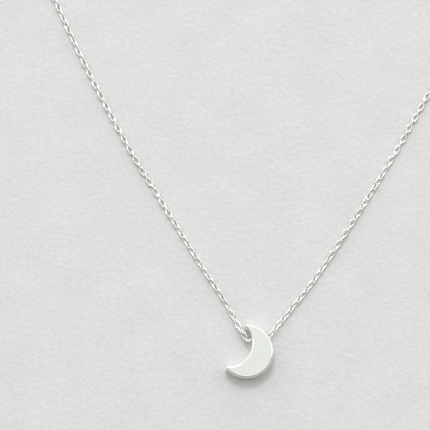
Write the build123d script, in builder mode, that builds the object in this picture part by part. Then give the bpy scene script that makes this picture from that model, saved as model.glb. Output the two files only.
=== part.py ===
"""Pendant necklace: a solid crescent-moon bead threaded on a fine cable chain, closed by a lobster
claw clasp, with an extender chain and an end drop. Units are millimetres. The necklace lies flat,
+Z is up, the surface it lies on is z = 0, and the origin is the middle of the moon's back face box."""

from build123d import *
import math
import os

os.makedirs("parts", exist_ok=True)

# ---------------------------------------------------------------- moon bead
MOON_RADIUS = 5.12                 # outer arc
MOON_THICKNESS = 3.0
MOON_CENTRE = (-0.49, 0.0)         # centre of the outer arc
HOLLOW_RADIUS = 4.46               # inner arc
HOLLOW_OFFSET = 3.895              # from the outer arc's centre to the inner arc's centre
HOLLOW_BEARING = 155.7             # degrees, the way that the crescent opens
TIP_ROUND = 0.3
MOON_EDGE_ROUND = 0.2
BORE_RADIUS = 1.0
BORE_BEARING = 13.0                # degrees, direction of the bore across the upper horn
BORE_START = (1.66, 2.364)         # where the left strand joins the length inside the bore
BORE_LENGTH_INSIDE = 1.2           # the straight length inside the bore, end to end
BORE_Z = MOON_THICKNESS / 2

# ---------------------------------------------------------------- chain
CHAIN_DIAMETER = 1.2
REST_Z = CHAIN_DIAMETER / 2        # centreline of a strand that lies on the surface
CHAIN_END_Z = 0.72                 # centreline of a strand where it meets its end ring
BORE_TO_RIGHT_BEND = 1.0           # from the length inside the bore to the right strand's first bend
SHORTER_RUN_SHARE = 0.45           # share of the shorter run that an arc may use

# ---------------------------------------------------------------- clasp and rings
HARDWARE_Y = 108.0                 # the closed clasp lies along this line
HARDWARE_Z = 1.5                   # centre height of the clasp and of the two upright rings
LEFT_CHAIN_END_X = 6.5
END_RING_RADIUS = 0.9              # centreline radius of the soldered end rings
END_RING_WIRE = 0.4
END_RING_Z = 0.85
END_RING_BITE = 0.1                # depth of the solder joint between an end ring and its chain
JUMP_RING_RADIUS = 1.25
JUMP_RING_WIRE = 0.5
END_TO_JUMP = 1.28                 # between the centres of an end ring and its jump ring
JUMP_TO_EYE = 1.68
EYE_TO_CATCH = 8.13

EYE_RADIUS = 1.35
EYE_HOLE_RADIUS = 0.85
EYE_THICKNESS = 0.8
NECK_X = 1.2                       # from the eye to the middle of the neck that joins it to the tail
NECK_LENGTH = 1.0
NECK_WIDTH = 1.5
CLAW_LOOP_X = 5.9                  # from the eye to the middle of the claw's loop
CLAW_OUTER_RADIUS = 2.45
CLAW_INNER_RADIUS = 1.45
CLAW_THICKNESS = 1.2
TAIL_THICKNESS = 1.8
TAIL_NARROW = (1.3, 0.75)          # tail's narrow end: distance from the eye, half width
TAIL_WIDE = (1.75, 1.6)            # its shoulder: distance from the loop's middle, half width
TAIL_CROWN = (1.0, 1.9)            # where it runs into the loop, measured the same way
HOOK_END_Y = -0.38                 # the hook ends this far from the clasp's line
PIVOT_BEARING = -150.0             # of the lever's pin, seen from the middle of the loop
PIVOT_RADIUS = 1.95
PIN_RADIUS = 0.3
PIN_CLEARANCE = 0.04
BARREL_RADIUS = 0.62
SLOT_RADIUS = 1.0
SLOT_HEIGHT = 1.1
BARREL_HEIGHT = 0.5
BARREL_GAP = 0.04                  # between the barrel and the slot's floor
TONGUE_LENGTH = 1.1                # of the tongue from the pin to the arm
TONGUE_WIDTH = 0.48
TONGUE_Y = -0.38                   # from the pin to the tongue's middle line
LEVER_REACH = 2.5
LEVER_GAP = 0.05
LEVER_END_Y = -0.45                # the lever's free end, from the clasp's line
LEVER_HEEL_X = 0.8                 # from the pin to the lever's full-thickness arm
TAB_RADIUS = 0.4
TAB_BEARING = -118.0               # of the thumb tab, seen from the middle of the loop
CUT_BLOCK = 10.0                   # side of the square blocks that trim the gate
SPRING_RADIUS = 0.46
SPRING_WIRE = 0.12
SPRING_TURNS = 2.5
SPRING_PITCH = 0.14

# ---------------------------------------------------------------- extender
LINK_LENGTH = 3.4
LINK_WIDTH = 2.4
LINK_WIRE = 0.42
LINK_SLACK = 0.1
LINK_REST_GAP = 0.01               # between a low link and the surface
FIRST_LINK_SHIFT = 1.55            # from the catch ring's centre to the first link's middle line
FIRST_LINK_Z = 1.75
LINK_Z_STEP = 0.12                 # the links come down to the surface by this much each
LINK_ROLL_STEP = 15.0              # degrees
LINK_ROLL_LAST = 45.0
LINK_HEADINGS = [-90, -93, -97, -99, -98, -95, -91, -87, -84, -82]  # degrees, one for each link
DROP_RING_RADIUS = 1.1
DROP_RING_WIRE = 0.4
DROP_RING_ROLL = 45.0              # degrees
DROP_RING_Z = 1.0
DROP_BALL_RADIUS = 1.6
DROP_EYE_RADIUS = 0.75
DROP_EYE_WIRE = 0.36
DROP_EYE_Z = 1.05
DROP_EYE_BITE = 0.1                # depth of the solder joint between the eye and the ball

# Routes of the two strands, each from the bore to the clasp: x, y, height of the centreline.
# The right strand's first two points and its last one are worked out from the bore and the rings.
LEFT_ROUTE = [
    (BORE_START[0], BORE_START[1], BORE_Z), (-0.09, 1.96, BORE_Z), (-1.25, 3.5, 1.35),
    (-2.17, 5.13, 1.05), (-3.12, 6.88, 0.75), (-4.82, 10.28, REST_Z), (-8.82, 16.68, REST_Z),
    (-15.57, 27.98, REST_Z), (-22.37, 38.88, REST_Z), (-28.57, 49.98, REST_Z), (-33.27, 59.38, REST_Z),
    (-37.47, 68.88, REST_Z), (-42.12, 79.0, REST_Z), (-44.72, 90.0, REST_Z), (-42.12, 101.0, REST_Z),
    (-34.52, 108.6, REST_Z), (-25.12, 107.8, REST_Z), (-20.32, 99.4, REST_Z), (-21.32, 88.4, REST_Z),
    (-20.52, 77.4, REST_Z), (-13.57, 71.28, REST_Z), (-6.92, 75.6, REST_Z), (-6.12, 85.6, REST_Z),
    (-7.52, 95.6, REST_Z), (-5.12, 103.8, REST_Z), (0.68, 107.7, REST_Z),
    (LEFT_CHAIN_END_X, HARDWARE_Y, CHAIN_END_Z),
]
RIGHT_ROUTE = [
    (4.48, 4.03, 1.2), (6.68, 6.73, 0.75), (9.73, 10.43, REST_Z), (13.93, 15.98, REST_Z),
    (18.93, 23.38, REST_Z), (24.03, 31.18, REST_Z), (28.93, 38.48, REST_Z), (33.53, 46.68, REST_Z),
    (37.65, 54.38, REST_Z), (42.15, 61.78, REST_Z), (46.35, 69.78, REST_Z), (49.6, 78.9, REST_Z),
    (51.3, 88.8, REST_Z), (49.7, 98.4, REST_Z), (43.9, 105.6, REST_Z), (35.7, 109.1, REST_Z),
    (27.3, 109.2, REST_Z),
]


def on_bearing(start, bearing, distance):
    """Point at a distance from start in the XY plane, along a bearing in degrees."""
    angle = math.radians(bearing)
    return (start[0] + distance * math.cos(angle), start[1] + distance * math.sin(angle))


def rolled_normal(heading, roll):
    """Normal of a flat ring whose long axis lies on a heading and which is rolled about it."""
    across = on_bearing((0, 0), heading + 90, 1)
    tilt = math.radians(roll)
    return (-across[0] * math.sin(tilt), -across[1] * math.sin(tilt), math.cos(tilt))


def corner_radii(points):
    """Largest arc for each corner of a route that leaves both of its runs some straight length."""
    radii = []
    for before, corner, after in zip(points, points[1:], points[2:]):
        run_in = Vector(*corner) - Vector(*before)
        run_out = Vector(*after) - Vector(*corner)
        half_turn = math.radians(run_in.get_angle(run_out)) / 2
        shorter = min(run_in.length, run_out.length)
        radii.append(SHORTER_RUN_SHARE * shorter / math.tan(half_turn))
    return radii


def finish(piece, label):
    """Label a finished piece and write it to its own STEP file."""
    piece.part.label = label
    export_step(piece.part, f"parts/{label}.step")


def make_strand(label, points):
    """A round tube along the route, straight runs joined by tangent arcs."""
    radii = corner_radii(points)
    with BuildPart() as strand:
        with BuildLine():
            path = FilletPolyline(*points, radius=radii)
        with BuildSketch(path ^ 0):
            Circle(CHAIN_DIAMETER / 2)
        sweep()
    section = math.pi * (CHAIN_DIAMETER / 2) ** 2
    length = path.length
    print(label, "length", round(length, 2), "volume over section x length",
          round(strand.part.volume / (section * length), 4))
    print("  arc radii", [round(radius, 2) for radius in radii])
    finish(strand, label)


def make_ring(label, centre, normal, radius, wire):
    """A closed round ring of round wire."""
    with BuildPart(Plane(origin=centre, z_dir=normal)) as ring:
        Torus(radius, wire / 2)
    finish(ring, label)


def make_moon():
    """The crescent: a disc less an offset disc, edges rounded, with a bore through its upper horn."""
    hollow_centre = on_bearing(MOON_CENTRE, HOLLOW_BEARING, HOLLOW_OFFSET)
    bore_middle = on_bearing(BORE_START, BORE_BEARING, BORE_LENGTH_INSIDE / 2)
    bore_way = on_bearing((0, 0), BORE_BEARING, 1)
    with BuildPart() as moon:
        with BuildSketch():
            with Locations(MOON_CENTRE):
                Circle(MOON_RADIUS)
            with Locations(hollow_centre):
                Circle(HOLLOW_RADIUS, mode=Mode.SUBTRACT)
        extrude(amount=MOON_THICKNESS)
        fillet(moon.edges().filter_by(Axis.Z), TIP_ROUND)
        faces = moon.faces().filter_by(Axis.Z)
        fillet(faces.edges(), MOON_EDGE_ROUND)
        bore_plane = Plane(origin=(*bore_middle, BORE_Z), z_dir=(*bore_way, 0))
        with BuildSketch(bore_plane):
            Circle(BORE_RADIUS)
        extrude(amount=MOON_RADIUS, both=True, mode=Mode.SUBTRACT)
    finish(moon, "moon")


def make_bore_length():
    """The short straight length of chain inside the moon's bore."""
    way = on_bearing((0, 0), BORE_BEARING, 1)
    with BuildPart() as middle:
        with BuildSketch(Plane(origin=(*BORE_START, BORE_Z), z_dir=(*way, 0))):
            Circle(CHAIN_DIAMETER / 2)
        extrude(amount=BORE_LENGTH_INSIDE)
    finish(middle, "chain_in_bore")


def make_claw(eye, loop, pivot):
    """The clasp's body: eye, solid tail with a slot for the lever, and the hooked loop."""
    base = Plane(origin=(0, 0, HARDWARE_Z))
    narrow_x, shoulder_x, crown_x = eye[0] + TAIL_NARROW[0], loop[0] - TAIL_WIDE[0], loop[0] - TAIL_CROWN[0]
    heel_block_x = pivot[0] + LEVER_HEEL_X - LEVER_GAP - CUT_BLOCK / 2
    with BuildPart() as claw:
        with BuildSketch(base.offset(-CLAW_THICKNESS / 2)):
            with Locations(loop):
                Circle(CLAW_OUTER_RADIUS)
                Circle(CLAW_INNER_RADIUS, mode=Mode.SUBTRACT)
        extrude(amount=CLAW_THICKNESS)
        fillet(claw.edges(), CLAW_THICKNESS / 4)
        with BuildSketch(base.offset(-TAIL_THICKNESS / 2)):
            with BuildLine():
                Polyline((narrow_x, HARDWARE_Y + TAIL_NARROW[1]), (shoulder_x, HARDWARE_Y + TAIL_WIDE[1]),
                         (crown_x, HARDWARE_Y + TAIL_CROWN[1]), (crown_x, HARDWARE_Y - TAIL_CROWN[1]),
                         (shoulder_x, HARDWARE_Y - TAIL_WIDE[1]), (narrow_x, HARDWARE_Y - TAIL_NARROW[1]),
                         close=True)
            make_face()
            with Locations(loop):
                Circle(CLAW_INNER_RADIUS, mode=Mode.SUBTRACT)
        extrude(amount=TAIL_THICKNESS)
        with BuildSketch(base.offset(-EYE_THICKNESS / 2)):
            with Locations(eye):
                Circle(EYE_RADIUS)
            with Locations((eye[0] + NECK_X, eye[1])):
                Rectangle(NECK_LENGTH, NECK_WIDTH)
            with Locations(eye):
                Circle(EYE_HOLE_RADIUS, mode=Mode.SUBTRACT)
        extrude(amount=EYE_THICKNESS)
        with BuildSketch(base.offset(-TAIL_THICKNESS)):
            with Locations(pivot):
                Circle(LEVER_REACH + LEVER_GAP)
            with Locations((heel_block_x, pivot[1]), (loop[0], loop[1] + HOOK_END_Y + CUT_BLOCK / 2)):
                Rectangle(CUT_BLOCK, CUT_BLOCK, mode=Mode.SUBTRACT)
        extrude(amount=2 * TAIL_THICKNESS, mode=Mode.SUBTRACT)
        with BuildSketch(base.offset(-SLOT_HEIGHT / 2)):
            with Locations(pivot):
                Circle(SLOT_RADIUS)
        extrude(amount=SLOT_HEIGHT, mode=Mode.SUBTRACT)
        with BuildSketch(base.offset(-TAIL_THICKNESS)):
            with Locations(pivot):
                Circle(PIN_RADIUS)
        extrude(amount=2 * TAIL_THICKNESS, mode=Mode.SUBTRACT)
    finish(claw, "clasp_claw")


def make_lever(loop, pivot):
    """The clasp's gate: an arm on the loop's own curve, a tongue and barrel on the pin, and a tab."""
    base = Plane(origin=(0, 0, HARDWARE_Z))
    barrel_foot = -SLOT_HEIGHT / 2 + BARREL_GAP
    tab = on_bearing(loop, TAB_BEARING, CLAW_OUTER_RADIUS)
    heel_block_x = pivot[0] + LEVER_HEEL_X - CUT_BLOCK / 2
    with BuildPart() as lever:
        with BuildSketch(base.offset(-CLAW_THICKNESS / 2)):
            with Locations(loop):
                Circle(CLAW_OUTER_RADIUS)
            with Locations(tab):
                Circle(TAB_RADIUS)
            with Locations(loop):
                Circle(CLAW_INNER_RADIUS, mode=Mode.SUBTRACT)
            with Locations(pivot):
                Circle(LEVER_REACH, mode=Mode.INTERSECT)
            with Locations((heel_block_x, pivot[1]), (loop[0], loop[1] + LEVER_END_Y + CUT_BLOCK / 2)):
                Rectangle(CUT_BLOCK, CUT_BLOCK, mode=Mode.SUBTRACT)
        extrude(amount=CLAW_THICKNESS)
        with BuildSketch(base.offset(barrel_foot)):
            with Locations(pivot):
                Circle(BARREL_RADIUS)
            with Locations((pivot[0] + TONGUE_LENGTH / 2, pivot[1] + TONGUE_Y)):
                Rectangle(TONGUE_LENGTH, TONGUE_WIDTH)
        extrude(amount=BARREL_HEIGHT)
        with BuildSketch(base.offset(-TAIL_THICKNESS)):
            with Locations(pivot):
                Circle(PIN_RADIUS + PIN_CLEARANCE)
        extrude(amount=2 * TAIL_THICKNESS, mode=Mode.SUBTRACT)
    finish(lever, "clasp_lever")


def make_pin(pivot):
    """The pin that the clasp's lever turns on."""
    with BuildPart() as pin:
        with BuildSketch(Plane(origin=(*pivot, HARDWARE_Z - TAIL_THICKNESS / 2))):
            Circle(PIN_RADIUS)
        extrude(amount=TAIL_THICKNESS)
    finish(pin, "clasp_pin")


def make_spring(pivot):
    """The torsion spring round the pin, above the lever's barrel."""
    spring_base = HARDWARE_Z + SLOT_HEIGHT / 2 - SPRING_TURNS * SPRING_PITCH - SPRING_WIRE
    with BuildPart() as spring:
        with BuildLine():
            coil = Helix(SPRING_PITCH, SPRING_TURNS * SPRING_PITCH, SPRING_RADIUS,
                         center=(*pivot, spring_base))
        with BuildSketch(coil ^ 0):
            Circle(SPRING_WIRE / 2)
        sweep(is_frenet=True)
    finish(spring, "clasp_spring")


def make_link(label, centre, heading, roll):
    """One oval extender link: centre, direction of its long axis and roll about it, in degrees."""
    along = on_bearing((0, 0), heading, 1)
    plane = Plane(origin=centre, x_dir=(*along, 0), z_dir=rolled_normal(heading, roll))
    half_width = (LINK_WIDTH - LINK_WIRE) / 2
    half_straight = (LINK_LENGTH - LINK_WIRE) / 2 - half_width
    with BuildPart() as link:
        with BuildLine(plane) as outline:
            first = Line((-half_straight, half_width), (half_straight, half_width))
            ThreePointArc((half_straight, half_width), (half_straight + half_width, 0),
                          (half_straight, -half_width))
            Line((half_straight, -half_width), (-half_straight, -half_width))
            ThreePointArc((-half_straight, -half_width), (-half_straight - half_width, 0),
                          (-half_straight, half_width))
        with BuildSketch(Plane(origin=first @ 0, z_dir=first % 0)):
            Circle(LINK_WIRE / 2)
        sweep(path=outline.wires()[0])
    finish(link, label)


def extender_places(catch):
    """Each link's centre, height, heading and roll, from the catch ring to the free end."""
    half_hole = LINK_LENGTH / 2 - LINK_WIRE
    pitch = 2 * half_hole - LINK_SLACK
    half_width = (LINK_WIDTH - LINK_WIRE) / 2
    start = (catch[0] + FIRST_LINK_SHIFT, catch[1])
    centre = on_bearing(start, LINK_HEADINGS[0], half_hole - JUMP_RING_WIRE)
    places = []
    for index, heading in enumerate(LINK_HEADINGS):
        if places:
            centre = on_bearing(on_bearing(centre, places[-1][2], pitch / 2), heading, pitch / 2)
        base_roll = min(LINK_ROLL_STEP * index, LINK_ROLL_LAST)
        roll = base_roll if index % 2 == 0 else base_roll - 90
        lowest = half_width * abs(math.sin(math.radians(roll))) + LINK_WIRE / 2
        height = max(lowest + LINK_REST_GAP, FIRST_LINK_Z - LINK_Z_STEP * index)
        places.append((centre, height, heading, roll))
    return places


def drop_places(last_link):
    """Centres of the drop's jump ring, of its eye and of its ball, beyond the last link."""
    centre, _, heading, _ = last_link
    ring = on_bearing(centre, heading, LINK_LENGTH / 2 - LINK_WIRE - LINK_SLACK
                      + DROP_RING_RADIUS - DROP_RING_WIRE / 2)
    eye = on_bearing(ring, heading, DROP_RING_RADIUS + DROP_EYE_RADIUS
                     - (DROP_RING_WIRE + DROP_EYE_WIRE) / 2 - LINK_SLACK)
    ball = on_bearing(eye, heading, DROP_EYE_RADIUS + DROP_BALL_RADIUS - DROP_EYE_BITE)
    return ring, eye, ball


def make_drop(last_link):
    """The ring at the extender's end, and the ball with its soldered eye."""
    heading = last_link[2]
    ring, eye, ball = drop_places(last_link)
    make_ring("drop_ring", (*ring, DROP_RING_Z), rolled_normal(heading, DROP_RING_ROLL),
              DROP_RING_RADIUS, DROP_RING_WIRE)
    with BuildPart() as drop:
        with Locations((*ball, DROP_BALL_RADIUS)):
            Sphere(DROP_BALL_RADIUS)
        with Locations(Plane(origin=(*eye, DROP_EYE_Z),
                             z_dir=rolled_normal(heading, DROP_RING_ROLL - 90))):
            Torus(DROP_EYE_RADIUS, DROP_EYE_WIRE / 2)
    finish(drop, "end_drop")


def hardware_places():
    """Centres of the rings, the clasp's eye and loop, and its pivot, along the clasp's line."""
    solder = END_RING_RADIUS + END_RING_WIRE / 2 - END_RING_BITE
    left_end = LEFT_CHAIN_END_X + solder
    left_jump = left_end + END_TO_JUMP
    eye = left_jump + JUMP_TO_EYE
    catch = eye + EYE_TO_CATCH
    right_end = catch + END_TO_JUMP
    loop = (eye + CLAW_LOOP_X, HARDWARE_Y)
    return {
        "left_end": (left_end, HARDWARE_Y), "left_jump": (left_jump, HARDWARE_Y),
        "eye": (eye, HARDWARE_Y), "loop": loop,
        "pivot": on_bearing(loop, PIVOT_BEARING, PIVOT_RADIUS),
        "catch": (catch, HARDWARE_Y), "right_end": (right_end, HARDWARE_Y),
        "right_chain_end": (right_end + solder, HARDWARE_Y),
    }


def main():
    """Build every piece of the necklace in its place."""
    places = hardware_places()
    bore_end = on_bearing(BORE_START, BORE_BEARING, BORE_LENGTH_INSIDE)
    bend_right = on_bearing(bore_end, BORE_BEARING, BORE_TO_RIGHT_BEND)
    make_moon()
    make_bore_length()
    make_strand("chain_left", LEFT_ROUTE)
    make_strand("chain_right", [(*bore_end, BORE_Z), (*bend_right, BORE_Z), *RIGHT_ROUTE,
                                (*places["right_chain_end"], CHAIN_END_Z)])

    flat, upright = (0, 0, 1), (0, 1, 0)
    for side in ("left_end", "right_end"):
        make_ring(f"{side}_ring", (*places[side], END_RING_Z), flat, END_RING_RADIUS, END_RING_WIRE)
    for label, place in (("left_jump_ring", "left_jump"), ("catch_ring", "catch")):
        make_ring(label, (*places[place], HARDWARE_Z), upright, JUMP_RING_RADIUS, JUMP_RING_WIRE)

    make_claw(places["eye"], places["loop"], places["pivot"])
    make_lever(places["loop"], places["pivot"])
    make_pin(places["pivot"])
    make_spring(places["pivot"])
    links = extender_places(places["catch"])
    for index, (centre, height, heading, roll) in enumerate(links):
        make_link(f"extender_link_{index + 1:02d}", (*centre, height), heading, roll)
    make_drop(links[-1])


main()
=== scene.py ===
"""The looks of a fine silver necklace with a crescent-moon bead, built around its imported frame."""

import logging
import math
import random
from collections.abc import Callable, Sequence
from dataclasses import dataclass, field
from enum import Enum

import bmesh
import bpy
import numpy as np
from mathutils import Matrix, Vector


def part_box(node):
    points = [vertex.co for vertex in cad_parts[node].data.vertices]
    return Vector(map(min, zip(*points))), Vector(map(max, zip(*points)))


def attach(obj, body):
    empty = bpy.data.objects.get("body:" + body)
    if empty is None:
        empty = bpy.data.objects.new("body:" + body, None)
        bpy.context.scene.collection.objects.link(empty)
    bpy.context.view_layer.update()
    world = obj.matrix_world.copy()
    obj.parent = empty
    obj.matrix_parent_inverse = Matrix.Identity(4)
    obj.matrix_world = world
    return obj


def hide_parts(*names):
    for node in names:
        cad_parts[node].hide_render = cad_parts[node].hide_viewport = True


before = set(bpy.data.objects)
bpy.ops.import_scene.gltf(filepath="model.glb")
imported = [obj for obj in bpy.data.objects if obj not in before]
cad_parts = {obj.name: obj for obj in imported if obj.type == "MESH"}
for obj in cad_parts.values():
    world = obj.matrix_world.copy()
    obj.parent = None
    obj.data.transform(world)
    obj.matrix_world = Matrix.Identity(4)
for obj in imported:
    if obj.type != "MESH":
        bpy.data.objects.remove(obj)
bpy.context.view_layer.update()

LOG = logging.getLogger("necklace")
MM = 0.001
UP = Vector((0.0, 0.0, 1.0))
Faces = list[tuple[int, ...]]
Solid = tuple[list[Vector], Faces]
Colour = tuple[float, float, float]


class Side(Enum):
    """The two strands of the chain, seen from above with the clasp away from the viewer."""

    LEFT = "left"
    RIGHT = "right"


# --------------------------------------------------------------------------- mesh helpers


def new_object(name: str, mesh: bpy.types.Mesh) -> bpy.types.Object:
    """Link a mesh into the scene as an object.

    Args:
        name: the piece's name.
        mesh: its mesh data.

    Returns:
        The new object.
    """
    mesh.name = name
    piece = bpy.data.objects.new(name, mesh)
    bpy.context.scene.collection.objects.link(piece)
    return piece


def mesh_object(name: str, points: Sequence[Vector], faces: Sequence[Sequence[int]],
                smooth: bool = True) -> bpy.types.Object:
    """Make an object from points and faces.

    Args:
        name: the piece's name.
        points: vertex positions in metres.
        faces: vertex indices of each face.
        smooth: whether its faces are shaded smooth.

    Returns:
        The new object.
    """
    mesh = bpy.data.meshes.new(name)
    mesh.from_pydata([tuple(point) for point in points], [], [tuple(face) for face in faces])
    mesh.validate()
    for polygon in mesh.polygons:
        polygon.use_smooth = smooth
    return new_object(name, mesh)


def apply_modifiers(piece: bpy.types.Object) -> None:
    """Bake a piece's modifiers into its mesh.

    Args:
        piece: the object whose modifiers are applied.
    """
    graph = bpy.context.evaluated_depsgraph_get()
    evaluated = piece.evaluated_get(graph)
    mesh = bpy.data.meshes.new_from_object(evaluated, preserve_all_data_layers=True, depsgraph=graph)
    old = piece.data
    piece.modifiers.clear()
    piece.data = mesh
    mesh.name = piece.name
    bpy.data.meshes.remove(old)


def join_meshes(name: str, pieces: Sequence[bpy.types.Object]) -> bpy.types.Object:
    """Join several pieces into one object, removing the originals.

    Args:
        name: the joined piece's name.
        pieces: the objects to join.

    Returns:
        The joined object.
    """
    merged = bmesh.new()
    for piece in pieces:
        merged.from_mesh(piece.data)
        bpy.data.objects.remove(piece)
    mesh = bpy.data.meshes.new(name)
    merged.to_mesh(mesh)
    merged.free()
    for polygon in mesh.polygons:
        polygon.use_smooth = True
    return new_object(name, mesh)


def cut_away(piece: bpy.types.Object, cutter: bpy.types.Object) -> None:
    """Subtract one closed mesh from another and remove the cutter.

    Args:
        piece: the object that is cut.
        cutter: the object that is taken away.
    """
    modifier = piece.modifiers.new("cut", "BOOLEAN")
    modifier.operation = "DIFFERENCE"
    modifier.solver = "EXACT"
    modifier.object = cutter
    apply_modifiers(piece)
    bpy.data.objects.remove(cutter)


def shade_evenly(piece: bpy.types.Object, sharp_deg: float = 35.0) -> None:
    """Give flat faces flat shading beside rounded ones, through weighted normals.

    Args:
        piece: the object to shade.
        sharp_deg: edges that turn more than this stay crisp.
    """
    edges = bmesh.new()
    edges.from_mesh(piece.data)
    limit = math.radians(sharp_deg)
    for edge in edges.edges:
        edge.smooth = edge.calc_face_angle(0.0) < limit
    for face in edges.faces:
        face.smooth = True
    edges.to_mesh(piece.data)
    edges.free()
    modifier = piece.modifiers.new("weighted", "WEIGHTED_NORMAL")
    modifier.keep_sharp = True
    modifier.weight = 90
    apply_modifiers(piece)


def round_and_blend(piece: bpy.types.Object, voxel: float, passes: int) -> None:
    """Fuse overlapping solids and soften where they meet, as a polished casting is.

    Args:
        piece: the object to fuse.
        voxel: the size of the fused grid, in metres.
        passes: how many times the surface is smoothed.
    """
    remesh = piece.modifiers.new("fuse", "REMESH")
    remesh.mode = "VOXEL"
    remesh.voxel_size = voxel
    soften = piece.modifiers.new("soften", "SMOOTH")
    soften.factor = 0.5
    soften.iterations = passes
    apply_modifiers(piece)
    for polygon in piece.data.polygons:
        polygon.use_smooth = True


def bearing(angle: float) -> Vector:
    """Unit vector on a level bearing, in radians."""
    return Vector((math.cos(angle), math.sin(angle), 0.0))


def stack_faces(count: int, layers: int, closed: bool = False) -> Faces:
    """Faces that join a stack of equal loops of points.

    Args:
        count: number of points in a loop.
        layers: number of loops.
        closed: whether the last loop joins the first; if not, both ends are capped.

    Returns:
        The vertex indices of each face.
    """
    faces: Faces = []
    for layer in range(layers if closed else layers - 1):
        above = (layer + 1) % layers
        for index in range(count):
            beside = (index + 1) % count
            faces.append((layer * count + index, layer * count + beside,
                          above * count + beside, above * count + index))
    if not closed:
        faces.append(tuple(reversed(range(count))))
        faces.append(tuple(range((layers - 1) * count, layers * count)))
    return faces


def sweep_loop(centres: Sequence[Vector], radials: Sequence[Vector], normal: Vector,
               radii: Sequence[float], sides: int, closed: bool = True,
               squash: float = 1.0) -> Solid:
    """Sweep a round section along a flat line.

    Args:
        centres: points of the centreline.
        radials: unit vector at each point, in the line's plane and square to it.
        normal: unit normal of the line's plane.
        radii: wire radius at each point.
        sides: number of sides of the section.
        closed: whether the line closes on itself; an open one gets flat ends.
        squash: height of the section over its width.

    Returns:
        The points and faces of the swept wire.
    """
    points: list[Vector] = []
    for centre, radial, radius in zip(centres, radials, radii):
        for side in range(sides):
            angle = 2 * math.pi * side / sides
            points.append(centre + radial * (radius * math.cos(angle))
                          + normal * (radius * squash * math.sin(angle)))
    return points, stack_faces(sides, len(centres), closed)


def revolve(profile: Sequence[tuple[float, float]], origin: Vector, axis: Vector,
            sides: int) -> Solid:
    """Turn a profile about an axis into a closed solid.

    Args:
        profile: pairs of distance along the axis and radius, both ends included.
        origin: where the axis starts.
        axis: unit vector along the axis.
        sides: number of sides around.

    Returns:
        The points and faces of the turned solid.
    """
    first = axis.orthogonal().normalized()
    second = axis.cross(first)
    points: list[Vector] = []
    for along, radius in profile:
        for side in range(sides):
            angle = 2 * math.pi * side / sides
            points.append(origin + axis * along
                          + (first * math.cos(angle) + second * math.sin(angle)) * radius)
    return points, stack_faces(sides, len(profile))


@dataclass(frozen=True)
class Axes:
    """Where a flat piece of the frame lies: its middle, long way, cross way and normal."""

    middle: Vector
    along: Vector
    across: Vector
    normal: Vector
    length: float
    width: float

    @staticmethod
    def of(node: str) -> "Axes":
        """Measure a ring or link of the frame from its own vertices.

        Args:
            node: the frame node's name.

        Returns:
            Its axes and outer sizes.
        """
        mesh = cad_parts[node].data
        flat = np.empty(len(mesh.vertices) * 3)
        mesh.vertices.foreach_get("co", flat)
        points = flat.reshape(-1, 3)
        low, high = (Vector(corner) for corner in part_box(node))
        middle = (low + high) / 2
        centred = points - np.array(middle)
        _, _, ways = np.linalg.svd(centred, full_matrices=False)
        along, across, normal = (Vector(way).normalized() for way in ways)
        spans = [float(np.ptp(centred @ np.array(way))) for way in (along, across)]
        return Axes(middle, along, across, normal, spans[0], spans[1])


# --------------------------------------------------------------------------- materials


def add_node(tree: bpy.types.NodeTree, kind: str, **inputs: object) -> bpy.types.Node:
    """Add a shader node and set its inputs by name.

    Args:
        tree: the node tree.
        kind: the node's type name.
        **inputs: values by input name, with underscores for spaces.

    Returns:
        The new node.
    """
    node = tree.nodes.new(kind)
    for name, value in inputs.items():
        node.inputs[name.replace("_", " ")].default_value = value
    return node


def new_group(name: str, numbers: dict[str, float], outputs: Sequence[str]
              ) -> tuple[bpy.types.NodeTree, bpy.types.Node, bpy.types.Node]:
    """Start a shader node group with named inputs and outputs.

    Args:
        name: the group's name.
        numbers: its number inputs and their defaults.
        outputs: names of its number outputs.

    Returns:
        The group and its input and output nodes.
    """
    group = bpy.data.node_groups.new(name, "ShaderNodeTree")
    group.interface.new_socket("Position", in_out="INPUT", socket_type="NodeSocketVector")
    for label, value in numbers.items():
        socket = group.interface.new_socket(label, in_out="INPUT", socket_type="NodeSocketFloat")
        socket.default_value = value
    for label in outputs:
        group.interface.new_socket(label, in_out="OUTPUT", socket_type="NodeSocketFloat")
    return group, group.nodes.new("NodeGroupInput"), group.nodes.new("NodeGroupOutput")


def math_node(tree: bpy.types.NodeTree, operation: str, first: object, second: object
              ) -> bpy.types.NodeSocket:
    """Add a math node whose operands are sockets or numbers.

    Args:
        tree: the node tree.
        operation: Blender's name for the operation.
        first: first socket or number.
        second: second socket or number.

    Returns:
        The node's output socket.
    """
    node = tree.nodes.new("ShaderNodeMath")
    node.operation = operation
    for index, operand in enumerate((first, second)):
        if isinstance(operand, bpy.types.NodeSocket):
            tree.links.new(operand, node.inputs[index])
        else:
            node.inputs[index].default_value = operand
    return node.outputs[0]


def map_node(tree: bpy.types.NodeTree, value: bpy.types.NodeSocket, low: float, high: float,
             to_low: float, to_high: float) -> bpy.types.NodeSocket:
    """Rescale a value from one range to another, clamped.

    Args:
        tree: the node tree.
        value: the socket to rescale.
        low: bottom of its range.
        high: top of its range.
        to_low: what the bottom becomes.
        to_high: what the top becomes.

    Returns:
        The rescaled socket.
    """
    node = add_node(tree, "ShaderNodeMapRange", From_Min=low, From_Max=high,
                    To_Min=to_low, To_Max=to_high)
    tree.links.new(value, node.inputs["Value"])
    return node.outputs["Result"]


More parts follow.
